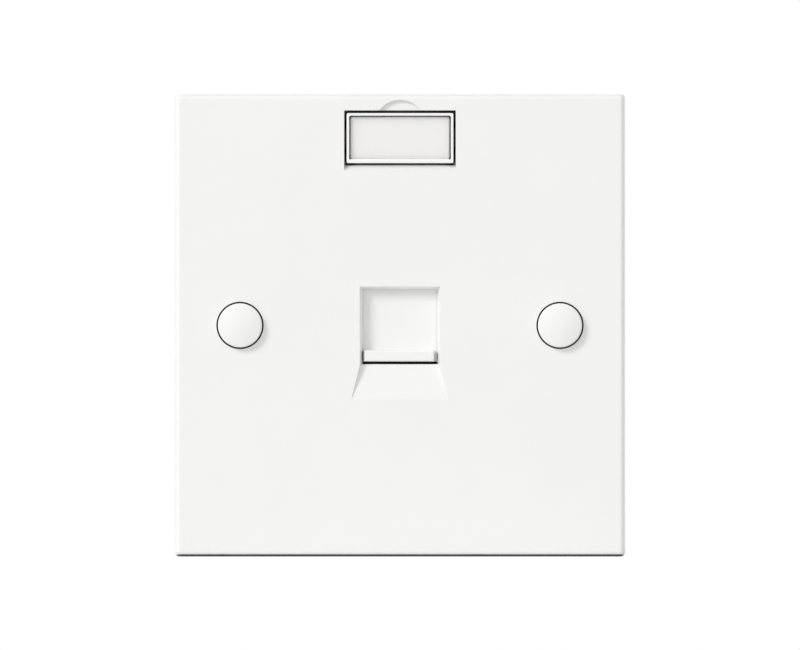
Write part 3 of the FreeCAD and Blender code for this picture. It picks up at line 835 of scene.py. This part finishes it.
@dataclass
class ScrewCap:
    """A domed push-fit cap: a turned profile whose skirt carries three grip ribs.

    Depths run from the crown of the dome towards the wall.
    """

    node: str
    dome_rise: float = 0.66
    shoulder_radius: float = 0.38
    skirt_wall: float = 0.7
    skirt_edge: float = 0.15
    roof_depth: float = 1.75
    rib_count: int = 3
    rib_width: float = 0.8
    rib_height: float = 0.25
    rib_length: float = 1.5
    rib_side_ease: float = 0.12
    rib_end_ease: float = 0.25
    columns: int = 240
    dome_rows: int = 25
    shoulder_rows: int = 9
    wall_rows: int = 23
    edge_rows: int = 4
    crease_deg: float = 40.0

    def build(self, material: Material) -> Piece:
        """Builds the cap in the place of its CAD node.

        Args:
            material: Finish of the cap.

        Returns:
            The new piece.
        """
        low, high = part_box(self.node)
        radius = (high.x - low.x) / 2 / MM
        length = (high.y - low.y) / MM
        turn = np.linspace(0.0, TURN, self.columns, endpoint=False)
        reach, depth = self._profile(radius, length)
        reach = reach[:, None] + self._ribs(turn, reach, depth, radius, length)
        centre = np.array([(low.x + high.x) / 2, low.y, low.z + radius * MM])
        depth = depth[:, None] * np.ones_like(turn)
        around = [reach * np.cos(turn), depth, reach * np.sin(turn)]
        rings = centre + MM * np.stack(around, axis=-1)
        roof = centre + np.array([0.0, self.roof_depth * MM, 0.0])
        piece = closed_tube(f"{self.node}_turned", rings, centre, roof, self.crease_deg)
        piece.data.materials.append(material)
        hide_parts(self.node)
        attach(piece, self.node)
        LOG.info("%s: %d faces", piece.name, len(piece.data.polygons))
        return piece

    def _profile(self, radius: float, length: float) -> tuple[np.ndarray, np.ndarray]:
        """Half section of the cap, from its crown round the skirt to its underside.

        The dome is an arc through the crown that would meet the rim one rise
        lower. The shoulder is an arc that touches both the dome and the rim,
        so its centre lies the difference of the radii from the dome's centre.

        Args:
            radius: Outer radius of the cap, in millimetres.
            length: Length of the cap from its crown to the skirt's end.

        Returns:
            Distance from the axis and depth of each point.
        """
        dome = (radius**2 + self.dome_rise**2) / (2 * self.dome_rise)
        inner = radius - self.shoulder_radius
        shoulder_depth = dome - math.sqrt((dome - self.shoulder_radius) ** 2 - inner**2)
        lean = math.atan2(inner, dome - shoulder_depth)
        skirt_end = length - self.skirt_edge
        sweep = np.linspace(0.0, lean, self.dome_rows + 1)[1:]
        bend = np.linspace(lean, QUARTER, self.shoulder_rows + 1)[1:]
        wall = np.linspace(shoulder_depth, skirt_end, self.wall_rows + 1)[1:]
        edge = np.linspace(0.0, QUARTER, self.edge_rows + 1)[1:]
        bore = radius - self.skirt_wall
        reach = [
            dome * np.sin(sweep),
            inner + self.shoulder_radius * np.sin(bend),
            np.full_like(wall, radius),
            radius - self.skirt_edge * (1.0 - np.cos(edge)),
            np.array([bore, bore, bore / 2]),
        ]
        depth = [
            dome * (1.0 - np.cos(sweep)),
            shoulder_depth - self.shoulder_radius * np.cos(bend),
            wall,
            length - self.skirt_edge * (1.0 - np.sin(edge)),
            np.array([length, self.roof_depth, self.roof_depth]),
        ]
        return np.concatenate(reach), np.concatenate(depth)

    def _ribs(
        self,
        turn: np.ndarray,
        reach: np.ndarray,
        depth: np.ndarray,
        radius: float,
        length: float,
    ) -> np.ndarray:
        """How far the grip ribs push the skirt's outside out.

        A rib's height eases off at its sides and towards the dome. It runs over
        the skirt's rounded edge. The first rib stands at the top of the cap.

        Args:
            turn: Angles of the columns.
            reach: Distance from the axis of each profile point.
            depth: Depth of each profile point.
            radius: Outer radius of the cap, in millimetres.
            length: Length of the cap.

        Returns:
            Outward push, as profile points by columns.
        """
        spacing = TURN / self.rib_count
        angle = (turn - QUARTER + spacing / 2) % spacing - spacing / 2
        past_side = self.rib_width / 2 - np.abs(angle) * radius
        across = smooth_step(past_side / self.rib_side_ease + 0.5)
        along = smooth_step((depth - length + self.rib_length) / self.rib_end_ease)
        outside = reach > radius - self.skirt_edge - ROUNDING
        return self.rib_height * np.outer(along * outside, across)


@dataclass
class LabelWindow:
    """The clear cover and the blank card that shows through its pane."""

    def build(self) -> None:
        """Dresses the cover, clear over the card and white round it, and the card."""
        low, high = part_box("label_card")
        centre = (low + high) / 2
        pane = ((high.x - low.x) / 2, (high.z - low.z) / 2)
        dress("label_cover", ClearWindow().material(tuple(centre), pane))
        dress("label_card", LabelCard().material())


@dataclass
class CoilSpring:
    """A compression spring with one closed turn at each end.

    It stands upright, so its wire follows a circle in x and y while it
    climbs in z. The climb starts to open at a share of the closed turns and
    eases over part of a turn. An active turn climbs the opening, in wire
    radii, more than a closed one, before the whole is fitted to its height.
    """

    node: str
    wire_mm: float = 0.2
    active_turns: float = 9.0
    closed_turns: float = 1.0
    opening: float = 20.0
    ease_start: float = 0.6
    ease_turns: float = 0.8
    steps_per_turn: int = 40
    sides: int = 10
    crease_deg: float = 60.0

    def build(self, material: Material) -> Piece:
        """Builds the coil in the place of its CAD node.

        Args:
            material: Finish of the wire.

        Returns:
            The new piece.
        """
        low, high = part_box(self.node)
        centre = (low + high) / 2
        radius = self.wire_mm * MM / 2
        mean = min(high.x - low.x, high.y - low.y) / 2 - radius
        turns = self.active_turns + 2 * self.closed_turns
        axis = np.array([centre.x, centre.y, 0.0])
        path = axis + self._path(turns, mean, low.z, high.z, radius)
        rings = self._rings(path, radius)
        piece = closed_tube(
            f"{self.node}_coil", rings, path[0], path[-1], self.crease_deg
        )
        piece.data.materials.append(material)
        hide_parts(self.node)
        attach(piece, "plate")
        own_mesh(piece)
        LOG.info("%s: %d faces", piece.name, len(piece.data.polygons))
        return piece

    def _path(
        self, turns: float, mean: float, bottom: float, top: float, radius: float
    ) -> np.ndarray:
        """Wire's centre line: a helix that climbs its own thickness a turn at the ends.

        Args:
            turns: All the turns, closed ones included.
            mean: Mean radius of the coil, in metres.
            bottom: Lowest height of the spring, in metres.
            top: Highest height of the spring.
            radius: Radius of the wire, in metres.

        Returns:
            Points about the coil's own axis.
        """
        along = np.linspace(0.0, 1.0, int(turns * self.steps_per_turn) + 1)
        angle = along * turns * TURN
        turn = along * turns
        start = self.closed_turns * self.ease_start
        opened = smooth_step((turn - start) / self.ease_turns)
        closes = smooth_step((turns - turn - start) / self.ease_turns)
        slope = 2 * radius + opened * closes * self.opening * radius
        climb = np.concatenate([[0.0], np.cumsum((slope[1:] + slope[:-1]) / 2)])
        height = bottom + radius + climb / climb[-1] * (top - bottom - 2 * radius)
        return np.stack([mean * np.cos(angle), mean * np.sin(angle), height], axis=1)

    def _rings(self, path: np.ndarray, radius: float) -> np.ndarray:
        """Round section carried along the path, in the plane square to it.

        Args:
            path: Centre line, in metres.
            radius: Radius of the wire, in metres.

        Returns:
            Rings of points.
        """
        tangent = np.gradient(path, axis=0)
        tangent /= np.linalg.norm(tangent, axis=1, keepdims=True)
        side = np.cross(tangent, np.array([0.0, 0.0, 1.0]))
        side /= np.linalg.norm(side, axis=1, keepdims=True)
        up = np.cross(side, tangent)
        turn = np.linspace(0.0, TURN, self.sides, endpoint=False)[None, :, None]
        section = np.cos(turn) * side[:, None] + np.sin(turn) * up[:, None]
        return path[:, None] + radius * section


@dataclass
class Screw:
    """A cross-recess screw, its thread and recess worked out as one surface.

    Distances along the axis run from the seat under the head towards the
    tip, so the head stands at negative ones. Shares are of the head's height,
    or of its radius for the face. An arm of the recess is shallower by the
    arm_rise share at its end. The thread's ridge falls to either side by the
    ridge_slope per pitch, from a ridge_top over 1, which leaves its crest flat.
    """

    node: str
    direction: Direction
    drive: Drive
    head_height: float
    head_radius: float
    length: float
    plain_length: float
    crest_radius: float
    root_radius: float
    pitch: float
    recess_depth: float
    tip_length: float
    face_share: float = 0.82
    dome_share: float = 0.12
    rim_share: float = 0.38
    arm_rise: float = 0.5
    recess_ease: float = 0.14
    recess_bottom: float = 0.02
    seat_break: float = 0.06
    under_head: float = 0.05
    ridge_top: float = 1.25
    ridge_slope: float = 2.9
    tip_fade: float = 1.6
    tip_share: float = 0.35
    columns: int = 72
    rows_per_pitch: int = 10
    fewest_rows: int = 12
    recess_rows: int = 40
    rim_rows: int = 7
    crease_deg: float = 42.0

    def build(self, material: Material) -> Piece:
        """Builds the screw in the place of its CAD node.

        Args:
            material: Finish of the steel.

        Returns:
            The new piece.
        """
        turn = np.linspace(0.0, TURN, self.columns, endpoint=False)
        head_radii, head_axis = self._head(turn)
        shank_radii, shank_axis = self._shank(turn)
        radii = np.vstack([head_radii, shank_radii])
        axis = np.vstack([head_axis, shank_axis])
        rings = self._placed(radii * np.cos(turn), axis, radii * np.sin(turn))
        ends = np.array([self.recess_depth - self.head_height, self.length])
        bottom, tip = self._placed(np.zeros(2), ends, np.zeros(2))
        piece = closed_tube(f"{self.node}_cut", rings, bottom, tip, self.crease_deg)
        piece.data.materials.append(material)
        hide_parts(self.node)
        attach(piece, "plate")
        LOG.info("%s: %d faces", piece.name, len(piece.data.polygons))
        return piece

    def _placed(
        self, across: np.ndarray, along: np.ndarray, up: np.ndarray
    ) -> np.ndarray:
        """Turns the screw's own millimetres into places in the frame, in metres.

        Args:
            across: Distances sideways from the axis.
            along: Distances from the seat towards the tip.
            up: Distances upwards from the axis.

        Returns:
            Points in metres, with x, y and z last.
        """
        low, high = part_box(self.node)
        way = self.direction.value
        near = low.y if way > 0 else high.y
        seat = near + way * self.head_height * MM
        return np.stack(
            [
                (low.x + high.x) / 2 + way * across * MM,
                seat + way * along * MM,
                (low.z + high.z) / 2 + up * MM,
            ],
            axis=-1,
        )

    def _head(self, turn: np.ndarray) -> tuple[np.ndarray, np.ndarray]:
        """Head's face with its cross recess, its rounded rim and its seat.

        The face is a height over a polar grid. A point is as deep in the
        recess as it lies inside either arm of the cross, and the arms rise
        towards their ends.

        Args:
            turn: Angles of the columns.

        Returns:
            Radius and axial distance of each grid point.
        """
        ones = np.ones_like(turn)
        flat = self.head_radius * self.face_share
        radii = np.linspace(self.recess_bottom, flat, self.recess_rows)[:, None] * ones
        across, up = np.abs(radii * np.cos(turn)), np.abs(radii * np.sin(turn))
        width, span = self.drive.value
        upright = np.minimum(width / 2 - across, span / 2 - up)
        level = np.minimum(width / 2 - up, span / 2 - across)
        cut = smooth_step(np.maximum(upright, level) / self.recess_ease + 0.5)
        rise = self.arm_rise * np.clip(radii / (span / 2), 0.0, 1.0)
        dome = self.dome_share * self.head_height * (radii / flat) ** 2
        face = -self.head_height + dome + self.recess_depth * (1.0 - rise) * cut
        bend = np.linspace(0.0, QUARTER, self.rim_rows + 1)[1:, None]
        rim_radii = flat + (self.head_radius - flat) * np.sin(bend)
        rim_top = -self.head_height * (1.0 - self.dome_share)
        rim_axis = rim_top + self.rim_share * self.head_height * (1.0 - np.cos(bend))
        under = np.array(
            [
                [self.head_radius, -self.seat_break],
                [self.head_radius - self.seat_break, 0.0],
                [self.root_radius, 0.0],
            ]
        )
        return (
            np.vstack([radii, rim_radii * ones, under[:, :1] * ones]),
            np.vstack([face, rim_axis * ones, under[:, 1:] * ones]),
        )

    def _shank(self, turn: np.ndarray) -> tuple[np.ndarray, np.ndarray]:
        """Plain shank and thread: a ridge that climbs a pitch a turn to a tapered tip.

        Args:
            turn: Angles of the columns.

        Returns:
            Radius and axial distance of each grid point.
        """
        threaded = self.length - self.plain_length
        count = max(int(threaded / self.pitch * self.rows_per_pitch), self.fewest_rows)
        cut = np.linspace(self.plain_length, self.length, count)
        axis = np.concatenate([[self.under_head], cut])[:, None]
        phase = (axis / self.pitch + turn / TURN) % 1.0
        ridge = self.ridge_top - np.abs(phase - 0.5) * self.ridge_slope
        run_out = smooth_step((axis - self.plain_length) / self.pitch)
        left = np.clip((self.length - axis) / self.tip_length, 0.0, 1.0)
        height = (self.crest_radius - self.root_radius) * run_out
        thread = height * smooth_step(left * self.tip_fade) * np.clip(ridge, 0.0, 1.0)
        taper = self.tip_share + (1.0 - self.tip_share) * np.sqrt(left)
        radii = (self.root_radius + thread) * taper
        return radii, axis * np.ones_like(turn)


@dataclass
class Fastenings:
    """The two screws that fix the plate and the four that hold the carrier to it."""

    def build(self) -> None:
        """Builds all six screws in zinc-plated steel."""
        material = ZINC_PLATE.material()
        for side in ("left", "right"):
            Screw(
                node=f"mounting_screw_{side}",
                direction=Direction.TOWARDS_WALL,
                drive=Drive.LARGE,
                head_height=2.2,
                head_radius=3.1,
                length=25.0,
                plain_length=4.3,
                crest_radius=1.75,
                root_radius=1.42,
                pitch=0.6,
                recess_depth=1.5,
                tip_length=0.7,
            ).build(material)
            for level in ("upper", "lower"):
                Screw(
                    node=f"carrier_screw_{level}_{side}",
                    direction=Direction.TOWARDS_FRONT,
                    drive=Drive.SMALL,
                    head_height=1.4,
                    head_radius=2.0,
                    length=5.4,
                    plain_length=0.3,
                    crest_radius=1.1,
                    root_radius=0.8,
                    pitch=0.8,
                    recess_depth=0.9,
                    tip_length=1.2,
                ).build(material)


@dataclass
class JackCarrier:
    """The rear moulding that takes the jack, with the two springs it houses."""

    springs: tuple[str, ...] = ("shutter_spring_left", "shutter_spring_right")

    def build(self) -> None:
        """Dresses the carrier and builds both springs."""
        dress("jack_carrier", CARRIER_WHITE.material())
        wire = SPRING_WIRE.material()
        for node in self.springs:
            CoilSpring(node=node).build(wire)


@dataclass
class Studio:
    """White floor, one softbox and a pale world, with the camera square to the plate.

    The key's way runs from the plate to the lamp. The world is the ambient
    strength, and brighter by the lean on the key's side.
    """

    view_width: float = 150.74
    view_rise: float = 0.075
    camera_distance: float = 1000.0
    key_distance: float = 6000.0
    key_size: float = 2000.0
    key_watts: float = 162.0
    key_from: tuple[float, float, float] = (-0.601, -0.615, 0.511)
    ambient: float = 0.634
    ambient_lean: float = 0.15
    floor_size: float = 3000.0
    floor_gap: float = 0.02
    far_clip: float = 10000.0

    def build(self) -> None:
        """Makes the camera, the key lamp, the world and the floor."""
        self._camera()
        self._key()
        self._world()
        self._floor()

    def _camera(self) -> None:
        """Level camera without perspective, as a long lens sees a small part."""
        data = bpy.data.cameras.new("front_camera")
        data.type = "ORTHO"
        data.ortho_scale = self.view_width * MM
        data.clip_end = self.far_clip * MM
        camera = bpy.data.objects.new("front_camera", data)
        camera.location = (0.0, -self.camera_distance * MM, self.view_rise * MM)
        camera.rotation_euler = (QUARTER, 0.0, 0.0)
        bpy.context.scene.collection.objects.link(camera)
        bpy.context.scene.camera = camera
        bpy.context.scene.view_settings.view_transform = "Standard"

    def _key(self) -> None:
        """Soft box above and to the left of the plate, in front of it."""
        way = np.array(self.key_from)
        way /= np.linalg.norm(way)
        data = bpy.data.lights.new("key_softbox", "AREA")
        data.shape = "SQUARE"
        data.size = self.key_size * MM
        data.energy = self.key_watts
        lamp = bpy.data.objects.new("key_softbox", data)
        lamp.location = tuple(way * self.key_distance * MM)
        lamp.rotation_mode = "QUATERNION"
        lamp.rotation_quaternion = lamp.location.to_track_quat("Z", "Y")
        bpy.context.scene.collection.objects.link(lamp)

    def _world(self) -> None:
        """Light from all round, brighter on the key's side and seen as plain white."""
        world = bpy.data.worlds.new("studio_light")
        world.use_nodes = True
        tree = world.node_tree
        tree.nodes.clear()
        way = add_node(tree, "ShaderNodeTexCoord").outputs["Generated"]
        facing = add_node(
            tree,
            "ShaderNodeVectorMath",
            {0: way, 1: self.key_from},
            operation="DOT_PRODUCT",
        )
        level = add_node(
            tree,
            "ShaderNodeMath",
            {
                0: facing.outputs["Value"],
                1: self.ambient * self.ambient_lean,
                2: self.ambient,
            },
            operation="MULTIPLY_ADD",
        )
        strength = add_node(
            tree,
            "ShaderNodeMapRange",
            {
                "Value": background_share(tree),
                "To Min": level.outputs["Value"],
                "To Max": 1.0,
            },
        )
        light = add_node(
            tree,
            "ShaderNodeBackground",
            {"Color": WHITE_LIGHT, "Strength": strength.outputs["Result"]},
        )
        output = add_node(
            tree, "ShaderNodeOutputWorld", {"Surface": light.outputs["Background"]}
        )
        output.is_active_output = True
        bpy.context.scene.world = world

    def _floor(self) -> None:
        """Flat floor just under the plate's lower edge."""
        half = self.floor_size * MM / 2
        level = CAD_BOX[0].z - self.floor_gap * MM
        corners = np.array([[-half, -half], [half, -half], [half, half], [-half, half]])
        points = np.column_stack([corners, np.full(4, level)])
        mesh = bpy.data.meshes.new("studio_floor")
        mesh.from_pydata(points.tolist(), [], [[0, 1, 2, 3]])
        mesh.materials.append(StudioPaint().material())
        floor = bpy.data.objects.new("studio_floor", mesh)
        bpy.context.scene.collection.objects.link(floor)


def main() -> None:
    """Builds the studio and each sub-assembly in order."""
    logging.basicConfig(level=logging.INFO, format="%(name)s: %(message)s")
    Studio().build()
    Mouldings().build()
    LabelWindow().build()
    JackCarrier().build()
    Fastenings().build()


if __name__ == "__main__":
    main()
